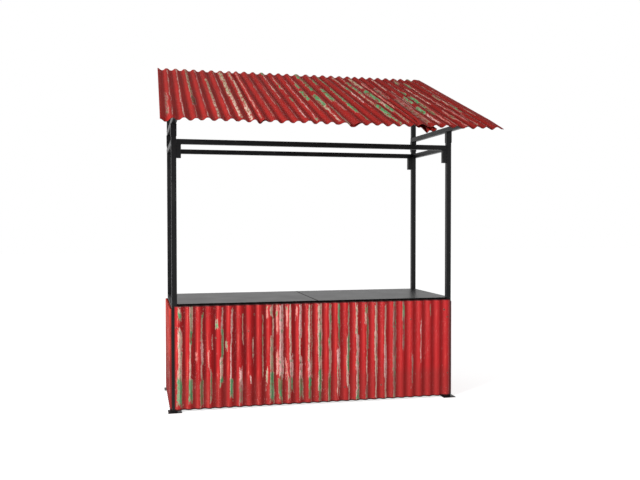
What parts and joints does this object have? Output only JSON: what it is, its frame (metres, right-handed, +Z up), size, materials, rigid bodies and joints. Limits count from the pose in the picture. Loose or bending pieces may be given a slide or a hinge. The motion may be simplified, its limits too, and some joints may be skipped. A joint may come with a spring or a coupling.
{
  "type": "market stall",
  "caption": "Free-standing market stall with a square-tube frame, corrugated sheet cladding, a flat counter top and a lean-to roof that overhangs the counter",
  "frame": {"origin": "on the ground, under the middle of the roof's outline", "axes": "+Z up, +Y from the customer's side to the back, +X to the right seen from the customer's side"},
  "size_m": [2.3812, 1.7176, 2.7294],
  "materials": {
    "frame_black": "satin black paint",
    "sheet_red": "worn red paint over cream primer and older green paint",
    "counter_grey": "dark grey satin paint"
  },
  "bodies": {
    "root": {"base_rail_back": "frame_black", "base_rail_front": "frame_black", "base_rail_left": "frame_black", "base_rail_right": "frame_black", "counter_bearer": "frame_black", "counter_rail_back": "frame_black", "counter_rail_front": "frame_black", "counter_rail_left": "frame_black", "counter_rail_right": "frame_black", "counter_top_left": "counter_grey", "counter_top_right": "counter_grey", "foot_plates": "frame_black", "front_sheet_1": "sheet_red", "front_sheet_2": "sheet_red", "front_sheet_3": "sheet_red", "front_sheet_4": "sheet_red", "head_brackets": "frame_black", "head_rail_back": "frame_black", "head_rail_front": "frame_black", "head_rail_left": "frame_black", "head_rail_right": "frame_black", "post_back_left": "frame_black", "post_back_right": "frame_black", "post_front_left": "frame_black", "post_front_right": "frame_black", "roof_back_uprights": "frame_black", "roof_purlin_back": "frame_black", "roof_purlin_front": "frame_black", "roof_purlin_middle": "frame_black", "roof_rafter_left": "frame_black", "roof_rafter_right": "frame_black", "roof_sheet_1": "sheet_red", "roof_sheet_2": "sheet_red", "roof_sheet_3": "sheet_red", "roof_sheet_4": "sheet_red", "roof_side_bar_left": "frame_black", "roof_side_bar_right": "frame_black", "roof_sleeves": "frame_black", "side_sheet_left": "sheet_red", "side_sheet_right": "sheet_red"}
  },
  "joints": []
}
